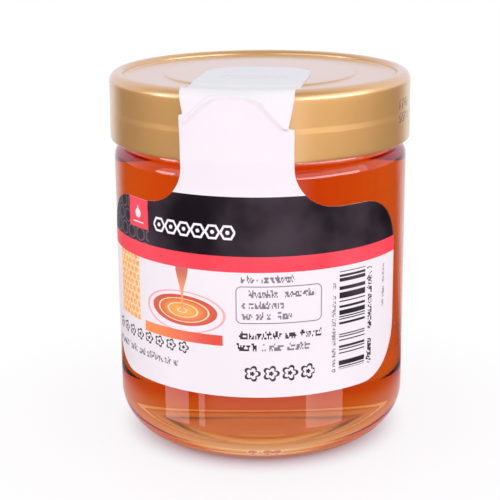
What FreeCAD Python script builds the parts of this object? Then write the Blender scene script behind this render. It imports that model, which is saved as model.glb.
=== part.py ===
"""A filled and closed honey jar, in millimetres, standing on z = 0 with +Z up and its label facing -Y.

The jar is a turned glass shell with a round heel and a short shoulder. The honey fills it to just
above the lid's foot, inside the neck. A deep pressed lid with a recessed top rests on the glass rim. One paper label lies on
the glass, and its seal tab runs up the side of the lid and over onto the lid's top.
"""
import FreeCAD, Part
import math
import os

import Sketcher

SIZES = {
    # glass jar
    "body_radius": 41.0,
    "glass_wall": 3.0,
    "heel_radius": 12.5,
    "floor_thickness": 5.0,
    "push_up": 2.5,
    "foot_width": 2.0,
    "shoulder_start": 79.9,
    "shoulder_radius": 5.0,
    "neck_radius": 39.2,
    "neck_wall": 2.3,
    "rim_round": 0.7,
    # honey
    "honey_level": 86.0,
    # lid
    "lid_radius": 41.9,
    "lid_foot": 85.1,
    "lid_top": 103.7,
    "lid_metal": 0.4,
    "lid_corner": 2.7,
    "curl_radius": 0.7,
    "panel_drop": 1.3,
    "step_radius": 26.6,
    "step_rise": 0.5,
    # label and its seal tab
    "paper": 0.15,
    "label_bottom": 21.85,
    "label_top": 72.7,
    "label_half_angle": 71.0,
    "label_corner": 15.0,
    "lift_off": 78.5,
    "lid_landing": 85.5,
    "crest_leave": 0.4,
    "panel_landing": 34.5,
    "tab_half_width": 14.8,
    "tab_flare": 11.0,
    "tab_reach": 8.0,
    "tab_corner": 11.0,
    "slit_depth": 1.1,
    "slit_height": 1.6,
    "left_slit": 97.0,
    "right_slit": 94.0,
}
BEYOND = 5.0  # how far the label's stencil and its slits reach past the paper
NEAR = 0.01  # two places this close are the same
UPRIGHT = 0.1  # an edge whose direction has less rise than this is level
STEP_LEAN = 0.4  # how far the step's underside is shifted in, as a share of the metal, to keep its thickness
RADIAL = 1.0  # an edge that passes the axis nearer than this runs straight out from it
SLIT_SLOPE = 2  # how much steeper a slit's upper lip is than its height


class Size:
    """A length that carries its number and the spreadsheet expression that gives it."""

    def __init__(self, value, text):
        self.value = value
        self.text = text

    def join(self, other, sign, value):
        other_text = other.text if isinstance(other, Size) else repr(other)
        return Size(value, f"({self.text} {sign} {other_text})")

    def __add__(self, other):
        return self.join(other, "+", self.value + number(other))

    def __sub__(self, other):
        return self.join(other, "-", self.value - number(other))

    def __mul__(self, other):
        return self.join(other, "*", self.value * number(other))

    def __truediv__(self, other):
        return self.join(other, "/", self.value / number(other))

    def __neg__(self):
        return self * -1


ZERO = Size(0, "0")


def number(length):
    """The plain number of a Size, or of a number."""
    return length.value if isinstance(length, Size) else length


def root(square):
    """The square root of a Size."""
    return Size(math.sqrt(square.value), f"sqrt({square.text})")


def size(alias):
    """The Size of one cell of the spreadsheet."""
    return Size(SIZES[alias], f"Sizes.{alias}")


def chord_side(radius, offset):
    """How far a circle of this radius reaches to the side, at this offset from its centre."""
    return root(radius * radius - offset * offset)


def dome_radius(reach, rise):
    """Radius of the shallow dome that rises this much over this reach from its crown."""
    return (reach * reach + rise * rise) / (rise * 2)


def fill_spreadsheet(doc):
    """Write each driving size and its alias to the sheet, one row each."""
    sheet = doc.addObject("Spreadsheet::Sheet", "Sizes")
    for row, (alias, value) in enumerate(SIZES.items(), start=1):
        sheet.set(f"A{row}", alias)
        sheet.set(f"B{row}", str(value))
        sheet.setAlias(f"B{row}", alias)
    doc.recompute()
    return sheet


def new_body(doc, name):
    """An empty body whose label is its name."""
    body = doc.addObject("PartDesign::Body", name)
    body.Label = name
    return body


def origin_feature(body, role):
    """The plane or axis of the body's origin that has this role."""
    return next(feature for feature in body.Origin.OriginFeatures if feature.Role == role)


def pin_point(sketch, curve, end, across, up):
    """Hold one end of a curve at a place measured from the sketch's origin."""
    for kind, axis, place in (("DistanceX", -2, across), ("DistanceY", -1, up)):
        if number(place) == 0:
            sketch.addConstraint(Sketcher.Constraint("PointOnObject", curve, end, axis))
            continue
        index = sketch.addConstraint(Sketcher.Constraint(kind, -1, 1, curve, end, number(place)))
        sketch.setExpression(f"Constraints[{index}]", place.text)


def arc_between(start, end, radius, turn):
    """The arc from start to end that bends left (turn 1) or right (turn -1)."""
    chord = end - start
    across = FreeCAD.Vector(-chord.y, chord.x, 0).normalize()
    centre = start + chord * 0.5 + across * turn * math.sqrt(radius**2 - (chord.Length / 2) ** 2)
    first, last = (start, end) if turn > 0 else (end, start)
    first_angle = math.atan2(first.y - centre.y, first.x - centre.x)
    last_angle = math.atan2(last.y - centre.y, last.x - centre.x)
    circle = Part.Circle(centre, FreeCAD.Vector(0, 0, 1), radius)
    return Part.ArcOfCircle(circle, first_angle, last_angle)


def draw_outline(sketch, path):
    """Draw a closed outline of straight runs and arcs, and bind it to the spreadsheet.

    Each stop of the path is (across, up), reached in a straight run, or (across, up, radius, turn),
    reached along an arc that bends left (turn 1) or right (turn -1).
    """
    arrivals = []
    departures = []
    for before, stop in zip([path[-1]] + path[:-1], path):
        start = FreeCAD.Vector(number(before[0]), number(before[1]), 0)
        end = FreeCAD.Vector(number(stop[0]), number(stop[1]), 0)
        if len(stop) == 2:
            curve = sketch.addGeometry(Part.LineSegment(start, end), False)
            departures.append((curve, 1))
            arrivals.append((curve, 2))
            continue
        radius, turn = stop[2:]
        curve = sketch.addGeometry(arc_between(start, end, radius.value, turn), False)
        departures.append((curve, 1 if turn > 0 else 2))
        arrivals.append((curve, 2 if turn > 0 else 1))
        index = sketch.addConstraint(Sketcher.Constraint("Radius", curve, radius.value))
        sketch.setExpression(f"Constraints[{index}]", radius.text)
    for arrival, departure in zip(arrivals, departures[1:] + departures[:1]):
        sketch.addConstraint(Sketcher.Constraint("Coincident", *arrival, *departure))
    for arrival, stop in zip(arrivals, path):
        pin_point(sketch, *arrival, stop[0], stop[1])


def new_sketch(body, name, plane, path):
    """A sketch of one closed outline on one of the body's origin planes."""
    sketch = body.newObject("Sketcher::SketchObject", name)
    sketch.AttachmentSupport = [(origin_feature(body, plane), "")]
    sketch.MapMode = "FlatFace"
    draw_outline(sketch, path)
    return sketch


def turn_section(body, name, path):
    """Turn a section of (radius, height) once round the Z axis."""
    sketch = new_sketch(body, f"{name}_section", "XZ_Plane", path)
    turned = body.newObject("PartDesign::Revolution", name)
    turned.Profile = sketch
    turned.ReferenceAxis = (sketch, ["V_Axis"])
    turned.Angle = 360
    return turned


def shoulder_end(radius, inset):
    """Height above the shoulder's start where its arc has come in by the inset."""
    return size("shoulder_start") + chord_side(radius, radius - inset)


def inner_wall():
    """Radii and arcs that the inside of the glass and the honey share."""
    radius = size("body_radius") - size("glass_wall")
    heel = size("heel_radius") - size("glass_wall")
    shoulder = size("shoulder_radius") - size("glass_wall")
    foot = size("body_radius") - size("heel_radius")
    mouth = size("neck_radius") - size("neck_wall")
    return radius, heel, shoulder, foot, mouth


def make_jar(doc):
    """The glass: a domed floor, a round heel, a straight wall, a short shoulder and a plain neck."""
    body = new_body(doc, "glass_jar")
    outer = size("body_radius")
    heel = size("heel_radius")
    foot = outer - heel
    stand = foot - size("foot_width")
    neck = size("neck_radius")
    lip = size("rim_round")
    rim = size("lid_top") - size("panel_drop") - size("lid_metal")
    inner, inner_heel, inner_shoulder, inner_foot, mouth = inner_wall()
    floor = size("floor_thickness")
    crown = floor + size("push_up")
    turn_section(body, "glass_shell", [
        (ZERO, size("push_up")),
        (stand, ZERO, dome_radius(stand, size("push_up")), -1),
        (foot, ZERO),
        (outer, heel, heel, 1),
        (outer, size("shoulder_start")),
        (neck, shoulder_end(size("shoulder_radius"), outer - neck), size("shoulder_radius"), 1),
        (neck, rim - lip),
        (neck - lip, rim, lip, 1),
        (mouth + lip, rim),
        (mouth, rim - lip, lip, 1),
        (mouth, shoulder_end(inner_shoulder, inner - mouth)),
        (inner, size("shoulder_start"), inner_shoulder, -1),
        (inner, floor + inner_heel),
        (inner_foot, floor, inner_heel, -1),
        (ZERO, crown, dome_radius(inner_foot, size("push_up")), 1),
    ])
    return body


def make_honey(doc):
    """The honey: it fills the glass face to face, up to a level surface in the neck."""
    body = new_body(doc, "honey")
    inner, inner_heel, inner_shoulder, inner_foot, mouth = inner_wall()
    floor = size("floor_thickness")
    level = size("honey_level")
    turn_section(body, "honey_filling", [
        (ZERO, floor + size("push_up")),
        (inner_foot, floor, dome_radius(inner_foot, size("push_up")), -1),
        (inner, floor + inner_heel, inner_heel, 1),
        (inner, size("shoulder_start")),
        (mouth, shoulder_end(inner_shoulder, inner - mouth), inner_shoulder, 1),
        (mouth, level),
        (ZERO, level),
    ])
    return body


def make_lid(doc):
    """The lid: a pressed metal cap with a curled foot, a round corner and a recessed, stepped top."""
    body = new_body(doc, "lid")
    outer = size("lid_radius")
    metal = size("lid_metal")
    corner = size("lid_corner")
    curl = size("curl_radius")
    foot = size("lid_foot")
    top = size("lid_top")
    drop = size("panel_drop")
    panel = top - drop
    crest = outer - corner
    step = size("step_radius")
    rise = size("step_rise")
    lean = metal * STEP_LEAN
    turn_section(body, "lid_shell", [
        (outer - curl, foot, curl, 1),
        (outer, foot + curl, curl, 1),
        (outer, top - corner),
        (crest, top, corner, 1),
        (crest - drop, panel, drop, 1),
        (step + rise, panel),
        (step, panel + rise),
        (ZERO, panel + rise),
        (ZERO, panel + rise - metal),
        (step - lean, panel + rise - metal),
        (step + rise - lean, panel - metal),
        (crest - drop + metal, panel - metal),
        (crest - drop + metal, panel),
        (crest, top - metal, drop - metal, -1),
        (outer - metal, top - corner, corner - metal, -1),
        (outer - metal, foot + curl * 2),
        (outer - curl, foot + curl * 2),
        (outer - curl * 2, foot + curl, curl, 1),
    ])
    return body


def paper_path(lift):
    """The line the paper follows, from the label's foot to the lid's middle, lifted off it by lift."""
    wall = size("body_radius") + lift
    side = size("lid_radius") + lift
    corner = size("lid_corner")
    crest = size("lid_radius") - corner
    drop = size("panel_drop")
    panel = size("lid_top") - drop
    leave = size("crest_leave")
    swell = (drop + lift) / drop
    step = size("step_radius")
    rise = size("step_rise")
    return [
        (wall, size("label_bottom")),
        (wall, size("lift_off")),
        (side, size("lid_landing")),
        (side, size("lid_top") - corner),
        (crest, size("lid_top") + lift, corner + lift, 1),
        (crest - leave * swell, panel + chord_side(drop, leave) * swell, drop + lift, 1),
        (size("panel_landing"), panel + lift),
        (step + rise, panel + lift),
        (step, panel + rise + lift),
        (ZERO, panel + rise + lift),
    ]


def reversed_path(path):
    """The same stops and arcs in the other direction, starting from the path's last stop."""
    stops = [stop[:2] for stop in reversed(path)]
    arcs = [stop[2:] for stop in reversed(path[1:])]
    back = [stops[0]]
    for stop, arc in zip(stops[1:], arcs):
        back.append(stop + (arc[0], -arc[1]) if arc else stop)
    return back


def find_edges(shape, wanted):
    """Names of the shape's edges for whose middle point and direction wanted says true."""
    names = []
    for index, edge in enumerate(shape.Edges, start=1):
        middle = edge.valueAt((edge.FirstParameter + edge.LastParameter) / 2)
        along = edge.tangentAt((edge.FirstParameter + edge.LastParameter) / 2)
        if wanted(middle, along):
            names.append(f"Edge{index}")
    return names


def round_edges(doc, body, name, radius, wanted):
    """Round the edges of the body that wanted picks."""
    doc.recompute()
    base = body.Tip
    rounded = body.newObject("PartDesign::Fillet", name)
    rounded.Base = (base, find_edges(base.Shape, wanted))
    rounded.setExpression("Radius", radius.text)
    return rounded


def make_stencil(doc):
    """The region that the paper covers: a sector round the jar and an upright strip over the lid."""
    body = new_body(doc, "label_stencil")
    near = size("body_radius") - BEYOND
    far = size("body_radius") + BEYOND
    bottom = size("label_bottom")
    top = size("label_top")
    sector_sketch = new_sketch(body, "sector_section", "YZ_Plane", [
        (-far, bottom),
        (-near, bottom),
        (-near, top),
        (-far, top),
    ])
    sector = body.newObject("PartDesign::Revolution", "sector")
    sector.Profile = sector_sketch
    sector.ReferenceAxis = (sector_sketch, ["V_Axis"])
    sector.Midplane = True
    sector.setExpression("Angle", "2 * Sizes.label_half_angle")
    round_edges(
        doc, body, "sector_corners", size("label_corner"),
        lambda middle, along: abs(along.z) < UPRIGHT and abs(along.cross(middle).z) < RADIAL,
    )
    half = size("tab_half_width")
    strip_sketch = new_sketch(body, "strip_plan", "XY_Plane", [
        (-half, -(size("lid_radius") + BEYOND)),
        (half, -(size("lid_radius") + BEYOND)),
        (half, size("tab_reach") - size("tab_corner")),
        (half - size("tab_corner"), size("tab_reach"), size("tab_corner"), 1),
        (size("tab_corner") - half, size("tab_reach")),
        (-half, size("tab_reach") - size("tab_corner"), size("tab_corner"), 1),
    ])
    strip = body.newObject("PartDesign::Pad", "strip")
    strip.Profile = strip_sketch
    strip.setExpression("Length", (size("lid_top") + BEYOND).text)
    label_top = SIZES["label_top"]
    side = SIZES["tab_half_width"]
    round_edges(
        doc, body, "tab_flares", size("tab_flare"),
        lambda middle, along: abs(middle.z - label_top) < NEAR and abs(abs(middle.x) - side) < NEAR,
    )
    slits = (("left", -half, size("left_slit"), 1), ("right", half, size("right_slit"), -1))
    for name, edge, middle, turn in slits:
        slit_sketch = new_sketch(body, f"{name}_slit_outline", "XZ_Plane", [
            (edge - BEYOND * turn, middle - size("slit_height") / 2),
            (edge + size("slit_depth") * turn, middle),
            (edge - BEYOND * turn, middle + size("slit_height") * SLIT_SLOPE),
        ])
        slit = body.newObject("PartDesign::Pocket", f"{name}_slit")
        slit.Profile = slit_sketch
        slit.Type = "ThroughAll"
        slit.Midplane = True
    return body


def make_label(doc):
    """The label: a skin turned along the paper's path, kept only inside the stencil."""
    skin = new_body(doc, "paper_skin")
    turn_section(skin, "skin", reversed_path(paper_path(size("paper"))) + paper_path(ZERO))
    label = doc.addObject("Part::Common", "label")
    label.Label = "label"
    label.Base = skin
    label.Tool = make_stencil(doc)
    return label


def check_document(doc, subparts):
    """Stop if any object failed to compute, or a sub-part is empty, broken or not one solid."""
    for item in doc.Objects:
        if "Invalid" in item.State or "Error" in item.State:
            raise RuntimeError(f"{item.Label} did not compute: {item.State}")
    for item in subparts:
        if item.Shape.isNull() or not item.Shape.isValid():
            raise RuntimeError(f"{item.Label} has no valid shape")
        if len(item.Shape.Solids) != 1:
            raise RuntimeError(f"{item.Label} is {len(item.Shape.Solids)} solids, not one")


def main():
    doc = FreeCAD.newDocument("honey_jar")
    fill_spreadsheet(doc)
    subparts = [make_jar(doc), make_honey(doc), make_lid(doc), make_label(doc)]
    doc.recompute()
    check_document(doc, subparts)
    os.makedirs("parts", exist_ok=True)
    for item in subparts:
        box = item.Shape.BoundBox
        print(f"{item.Label}: {item.Shape.Volume / 1000:.1f} cm3, z {box.ZMin:.2f} to {box.ZMax:.2f}")
        item.Shape.exportStep(f"parts/{item.Label}.step")


main()
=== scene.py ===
# %% [markdown]
# # A jar of honey with a gold lid
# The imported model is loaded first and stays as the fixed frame. Each of its four parts is then replaced
# by a finer surface of the same size, so the driving measures are read from the frame. Lengths are in
# millimetres all through the script and become metres only where Blender takes them.

# %% Load the frame
import math

import bpy
import numpy as np
from mathutils import Matrix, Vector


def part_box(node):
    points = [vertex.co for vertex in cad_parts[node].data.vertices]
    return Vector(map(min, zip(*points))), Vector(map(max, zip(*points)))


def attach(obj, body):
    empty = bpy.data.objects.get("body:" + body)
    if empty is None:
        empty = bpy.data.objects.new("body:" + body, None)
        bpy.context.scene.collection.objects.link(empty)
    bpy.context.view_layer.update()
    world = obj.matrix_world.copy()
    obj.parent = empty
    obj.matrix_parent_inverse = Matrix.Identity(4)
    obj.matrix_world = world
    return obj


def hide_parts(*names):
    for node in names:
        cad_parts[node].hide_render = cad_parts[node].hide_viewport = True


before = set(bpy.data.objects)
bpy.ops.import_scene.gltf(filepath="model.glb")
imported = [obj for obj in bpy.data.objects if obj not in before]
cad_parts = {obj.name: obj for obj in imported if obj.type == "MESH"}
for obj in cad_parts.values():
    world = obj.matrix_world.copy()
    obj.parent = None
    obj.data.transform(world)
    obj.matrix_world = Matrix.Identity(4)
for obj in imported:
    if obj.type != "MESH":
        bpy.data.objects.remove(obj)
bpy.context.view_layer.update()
MM = 0.001


def reach(node):
    """Largest radius, lowest height and highest height of a node, in millimetres."""
    low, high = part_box(node)
    return high.x / MM, low.z / MM, high.z / MM


BODY, _, RIM = reach("glass_jar")
CAVITY, HONEY_FOOT, HONEY_LEVEL = reach("honey")
LID, LID_FOOT, LID_TOP = reach("lid")
LABEL_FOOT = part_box("label")[0].z / MM
TAB_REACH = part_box("label")[1].y / MM
WALL = BODY - CAVITY
print("nodes of the frame:", *sorted(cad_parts))
print(f"body {BODY:.1f}, wall {WALL:.1f}, honey to {HONEY_LEVEL:.1f}, lid {LID:.1f} up to {LID_TOP:.1f} mm")

# %% [markdown]
# ## Profiles and turned surfaces
# Glass, honey and lid are all turned shapes. Each could be a cylinder with bevels, but a profile of
# (radius, height) points turned round the axis gives the true heel, shoulder and curl, with close rows
# where the shape bends and wide ones where it is straight. The profile starts and ends on the axis,
# where all the points of a turn are one and the same, so the surface is closed without a seam.

# %% Profiles
SAME_POINT = 1e-4


def join(*parts):
    """Profiles end to end, without the points that would come twice."""
    points = np.concatenate(parts)
    apart = np.hypot(*np.diff(points, axis=0).T) > SAME_POINT
    return points[np.concatenate([[True], apart])]


def fan(start, end, centre, turn_step=7.0):
    """Points of the arc from start to end about centre, about turn_step degrees apart.

    Each point is centre + radius (cos a, sin a), with the angle a going evenly the short way round.
    """
    start, end, centre = np.array(start, float), np.array(end, float), np.array(centre, float)
    first = np.arctan2(*(start - centre)[::-1])
    sweep = np.arctan2(*(end - centre)[::-1]) - first
    sweep = (sweep + np.pi) % (2 * np.pi) - np.pi
    count = max(2, int(abs(np.degrees(sweep)) / turn_step) + 1)
    angle = first + np.linspace(0.0, 1.0, count + 1) * sweep
    return centre + np.hypot(*(start - centre)) * np.stack([np.cos(angle), np.sin(angle)], -1)


def rounded_profile(corners, step=2.0, turn_step=7.0):
    """A profile through (radius, height, rounding) corners, as an array of points.

    At a corner with a rounding q the two sides are joined by the arc of radius q that touches both: with
    half the corner's angle h, the arc starts q / tan(h) from the corner and its centre is q / sin(h) away.
    """
    places = [np.array(corner[:2], float) for corner in corners]
    pieces = [places[0][None]]
    for before, here, after, corner in zip(places, places[1:], places[2:], corners[1:]):
        if corner[2] == 0:
            pieces.append(here[None])
            continue
        back = (before - here) / np.hypot(*(before - here))
        ahead = (after - here) / np.hypot(*(after - here))
        half = np.arccos(np.clip(back @ ahead, -1, 1)) / 2
        middle = (back + ahead) / np.hypot(*(back + ahead))
        touch = corner[2] / math.tan(half)
        centre = here + middle * corner[2] / math.sin(half)
        pieces.append(fan(here + back * touch, here + ahead * touch, centre, turn_step))
    pieces.append(places[-1][None])
    points = [pieces[0]]
    for piece in pieces[1:]:
        gap = piece[0] - points[-1][-1]
        count = int(np.hypot(*gap) / step)
        share = (np.arange(count) + 1)[:, None] / (count + 1)
        points += [points[-1][-1] + gap * share, piece]
    return join(*points)


def dome(reach_out, foot, rise, count=14):
    """A low dome from the axis outwards: its height is foot + rise (1 - (radius / reach_out) squared)."""
    radius = np.linspace(0.0, reach_out, count)
    return np.stack([radius, foot + rise * (1 - (radius / reach_out) ** 2)], -1)


quarter = fan((1.0, 0.0), (0.0, 1.0), (0.0, 0.0))
print(f"a quarter circle is drawn with {len(quarter)} points")

# %% Surfaces
def grid_faces(rows, columns, wrap):
    """Four-cornered faces between the neighbours of a grid; wrap joins the last column to the first."""
    last = columns if wrap else columns - 1
    row, column = np.meshgrid(np.arange(rows - 1), np.arange(last), indexing="ij")
    here, above = row * columns, (row + 1) * columns
    beside = (column + 1) % columns
    return np.stack([here + column, here + beside, above + beside, above + column], -1).reshape(-1, 4)


def even_angles(columns):
    """Angles of one turn, in degrees."""
    return np.arange(columns) * 360.0 / columns


def turned(profile, angles, lift=None):
    """Points and faces of a profile turned round Z, with one point at each end, on the axis.

    A point is (r sin a, -r cos a, h): the angle a starts at the front, -Y, and grows towards +X.
    lift(r, h, a) moves a point out along its radius.
    """
    radius, height = profile[1:-1, 0][:, None], profile[1:-1, 1][:, None]
    turn = np.radians(angles)[None]
    if lift is not None:
        radius = radius + lift(radius, height, angles[None])
    ring = np.stack(np.broadcast_arrays(radius * np.sin(turn), -radius * np.cos(turn), height), -1)
    rows, columns = ring.shape[:2]
    ends = [(0, 0, profile[0, 1]), (0, 0, profile[-1, 1])]
    points = np.concatenate([ring.reshape(-1, 3), ends])
    this = np.arange(columns)
    beside = (this + 1) % columns
    first, last = rows * columns, rows * columns + 1
    last_row = (rows - 1) * columns
    fans = [
        np.stack([np.full(columns, first), beside, this], -1),
        np.stack([last_row + this, last_row + beside, np.full(columns, last)], -1),
    ]
    return points, [grid_faces(rows, columns, True), *fans]


def new_piece(name, points, faces, node, finish):
    """A smooth mesh piece from points in millimetres, standing in the place of a CAD node."""
    mesh = bpy.data.meshes.new(name)
    polygons = [face for block in faces for face in block.tolist()]
    mesh.from_pydata((points * MM).tolist(), [], polygons)
    mesh.polygons.foreach_set("use_smooth", np.ones(len(polygons), bool))
    mesh.update()
    piece = bpy.data.objects.new(name, mesh)
    bpy.context.scene.collection.objects.link(piece)
    mesh.materials.append(finish.material)
    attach(piece, "root")
    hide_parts(node)
    print(f"{name}: {len(points)} points, {len(polygons)} faces")
    return piece


def of_faces(piece, kind):
    """The "center" or the "normal" of every face of a piece, as rows of x, y and z."""
    values = np.zeros(3 * len(piece.data.polygons), np.float32)
    piece.data.polygons.foreach_get(kind, values)
    return values.reshape(-1, 3)


print(f"a ring of two rows and eight columns has {len(grid_faces(2, 8, True))} faces")

# %% [markdown]
# ## Shader arithmetic
# A finish is a small program: where on the surface am I, and which colour, gloss and bump go there? Nodes
# can say that, but sums of nodes are hard to read, so a small class wraps a socket and gives it Python's
# operators. Each operator adds one Math node. Every other node comes from the one method add.

# %% The socket class and the finish class
class Wire:
    """A node's output. Arithmetic and comparisons on it add Math nodes and give the next Wire."""

    def __init__(self, finish, socket):
        self.finish = finish
        self.socket = socket

    def math(self, operation, *values):
        return self.finish.add("ShaderNodeMath", {"operation": operation}, dict(enumerate(values)))

    def __add__(self, other):
        return self.math("ADD", self, other)

    __radd__ = __add__

    def __sub__(self, other):
        return self.math("SUBTRACT", self, other)

    def __rsub__(self, other):
        return self.math("SUBTRACT", other, self)

    def __mul__(self, other):
        return self.math("MULTIPLY", self, other)

    __rmul__ = __mul__

    def __truediv__(self, other):
        return self.math("DIVIDE", self, other)

    def __rtruediv__(self, other):
        return self.math("DIVIDE", other, self)

    def __neg__(self):
        return self.math("MULTIPLY", self, -1.0)

    def __mod__(self, other):
        return self.math("FLOORED_MODULO", self, other)

    def __pow__(self, other):
        return self.math("POWER", self, other)

    def __abs__(self):
        return self.math("ABSOLUTE", self)

    def __lt__(self, other):
        return self.math("LESS_THAN", self, other)

    def __gt__(self, other):
        return self.math("GREATER_THAN", self, other)

    def __and__(self, other):
        return self.math("MINIMUM", self, other)

    def __or__(self, other):
        return self.math("MAXIMUM", self, other)

    def floor(self):
        return self.math("FLOOR", self)

    def cosine(self):
        """The cosine of this angle, in radians."""
        return self.math("COSINE", self)

    def soft(self, low, high):
        """0 below low, 1 above high, and a smooth rise between."""
        kind = {"interpolation_type": "SMOOTHSTEP"}
        return self.finish.add("ShaderNodeMapRange", kind, {0: self, 1: low, 2: high, 3: 0.0, 4: 1.0})

    def inside(self, low, high):
        """1 between low and high, else 0."""
        return (self > low) & (self < high)


class Finish:
    """A material or world and its node tree."""

    def __init__(self, name, world=False):
        self.material = (bpy.data.worlds if world else bpy.data.materials).new(name)
        self.material.use_nodes = True
        self.tree = self.material.node_tree
        self.tree.nodes.clear()

    def add(self, kind, settings=None, sockets=None, output=0):
        """A node of this type, with its settings made first and then its sockets set or linked."""
        node = self.tree.nodes.new(kind)
        for key, value in (settings or {}).items():
            setattr(node, key, value)
        for key, value in (sockets or {}).items():
            if isinstance(value, Wire):
                self.tree.links.new(value.socket, node.inputs[key])
            else:
                node.inputs[key].default_value = value
        return Wire(self, node.outputs[output]) if node.outputs else node

    def split(self, vector):
        """The three numbers of a vector."""
        node = self.add("ShaderNodeSeparateXYZ", None, {0: vector}).socket.node
        return [Wire(self, output) for output in node.outputs]

    def place(self):
        """The place on the piece, in metres."""
        return self.add("ShaderNodeTexCoord", output="Object")

    def millimetres(self):
        """x, y and z on the piece, in millimetres."""
        return [part / MM for part in self.split(self.place())]

    def noise(self, vector, scale, detail, roughness=0.5):
        """Cloudy noise between 0 and 1."""
        return self.add("ShaderNodeTexNoise", None, {
            "Vector": vector, "Scale": scale, "Detail": detail, "Roughness": roughness,
        })

    def stretched(self, vector, scale):
        """A vector with its three numbers scaled, for long or flat grain."""
        return self.add("ShaderNodeMapping", {"vector_type": "POINT"}, {"Vector": vector, "Scale": scale})

    def blend(self, factor, start, end):
        """start where factor is 0, end where it is 1; both are colours."""
        kind = {"data_type": "RGBA", "clamp_factor": True}
        return self.add("ShaderNodeMix", kind, {0: factor, 6: start, 7: end}, 2)

    def bump(self, height, distance, strength):
        """A normal tilted by a height; distance is how far a height of 1 stands out, in millimetres."""
        sockets = {"Height": height, "Distance": distance * MM, "Strength": strength}
        return self.add("ShaderNodeBump", None, sockets)

    def angle(self, rise, side):
        """The angle of the point (side, rise), in radians."""
        return self.add("ShaderNodeMath", {"operation": "ARCTAN2"}, {0: rise, 1: side})

    def surface(self, sockets):
        """A Principled shader as the material's whole surface."""
        shader = self.add("ShaderNodeBsdfPrincipled", None, sockets)
        self.add("ShaderNodeOutputMaterial", None, {"Surface": shader})

    def chance(self, number):
        """A value from 0 to 1 that is always the same for the same number, and looks random."""
        return self.add("ShaderNodeTexWhiteNoise", {"noise_dimensions": "1D"}, {"W": number})


def shade(red, green, blue):
    """A screen colour of 0 to 255 as the linear colour a shader takes."""
    part = np.array([red, green, blue]) / 255
    linear = np.where(part <= 0.04045, part / 12.92, ((part + 0.055) / 1.055) ** 2.4)
    return (*linear.tolist(), 1.0)


print(f"screen grey 128 is {shade(128, 128, 128)[0]:.3f} in a shader")

# %% [markdown]
# ## The glass
# The jar is pressed and blown soda glass: clear, a little wavy, with a thick round heel, a hollow foot and
# a short shoulder. A tube with a Solidify modifier would have the same wall everywhere, but real glass is
# thicker at the floor and rounder inside, so the outside and the inside are two profiles, turned as one
# closed shell. It has three finishes: polished glass that bends light, the skin that honey wets, and the
# foot. A few raised marks of the mould sit on the heel. They are real bumps in the mesh, so the columns
# and rows are closer there.

# %% Glass finishes
glass_finish = Finish("clear_glass_finish")
glass_place = glass_finish.place()
swell = glass_finish.noise(glass_place, 38.0, 2.0)
smear = glass_finish.noise(glass_finish.stretched(glass_place, (1.0, 1.0, 0.35)), 90.0, 4.0)
glass_finish.surface({
    "Base Color": glass_finish.blend(smear, (0.975, 0.985, 0.98, 1), (0.99, 0.995, 0.99, 1)),
    "Roughness": smear.soft(0.45, 0.8) * 0.02,
    "IOR": 1.5,
    "Transmission Weight": 1.0,
    "Normal": glass_finish.bump(swell, 0.6, 0.35),
})

# where honey wets the glass, light hardly bends or mirrors, so that skin is fully transparent
wet_finish = Finish("wet_glass_finish")
wet_finish.surface({"Base Color": (0.98, 0.99, 0.98, 1), "Roughness": 0.0, "Alpha": 0.0})

# the foot is pressed in a stippled mould, so it is rougher; light from the table comes in through it with
# hardly a bend. Its amber is painted light: the glass is clear, and the tint stands for the colour the honey
# above gives the light coming through, deepest towards the middle
foot_finish = Finish("stippled_foot_finish")
stipple = foot_finish.noise(foot_finish.place(), 1400.0, 2.0)
foot_x, foot_y, _ = foot_finish.millimetres()
foot_radius = (foot_x**2 + foot_y**2) ** 0.5
# both ambers are painted light, the honey's colour on light through the foot, not a colour of the glass
painted_deep_amber_light, painted_pale_amber_light = (0.42, 0.08, 0.03, 1), (0.62, 0.28, 0.16, 1)
foot_finish.surface({
    "Base Color": foot_finish.blend(foot_radius.soft(24.0, 39.0), painted_deep_amber_light, painted_pale_amber_light),
    "Roughness": 0.1 + stipple * 0.1,
    "IOR": 1.02,
    "Transmission Weight": 1.0,
    "Normal": foot_finish.bump(stipple, 0.03, 0.15),
})
print("finishes of the glass:", [finish.material.name for finish in (glass_finish, wet_finish, foot_finish)])

# %% Glass profile
HEEL = 12.5
FOOT_WIDTH = 2.0
PUSH_UP = 2.5
SHOULDER = 5.0
SHOULDER_START = 79.9
NECK = 39.2
NECK_WALL = 2.3
LIP = 0.7


def shoulder_arc(wall_radius, rounding, neck_radius):
    """The shoulder's arc, from the upright wall in to the neck's radius."""
    centre = (wall_radius - rounding, SHOULDER_START)
    rise = math.sqrt(rounding**2 - (neck_radius - centre[0]) ** 2)
    return fan((wall_radius, SHOULDER_START), (neck_radius, SHOULDER_START + rise), centre, 5.0)


def inner_wall(grow=0.0):
    """The cavity's profile from the floor's middle to the shoulder's start, moved out by grow."""
    wall = CAVITY + grow
    heel = HEEL - WALL + grow
    foot = wall - heel
    low = HONEY_FOOT - grow
    return join(
        dome(foot, low, PUSH_UP),
        fan((foot, low), (wall, low + heel), (foot, low + heel), 4.0),
        rounded_profile([(wall, low + heel, 0), (wall, SHOULDER_START, 0)]),
    )


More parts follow.
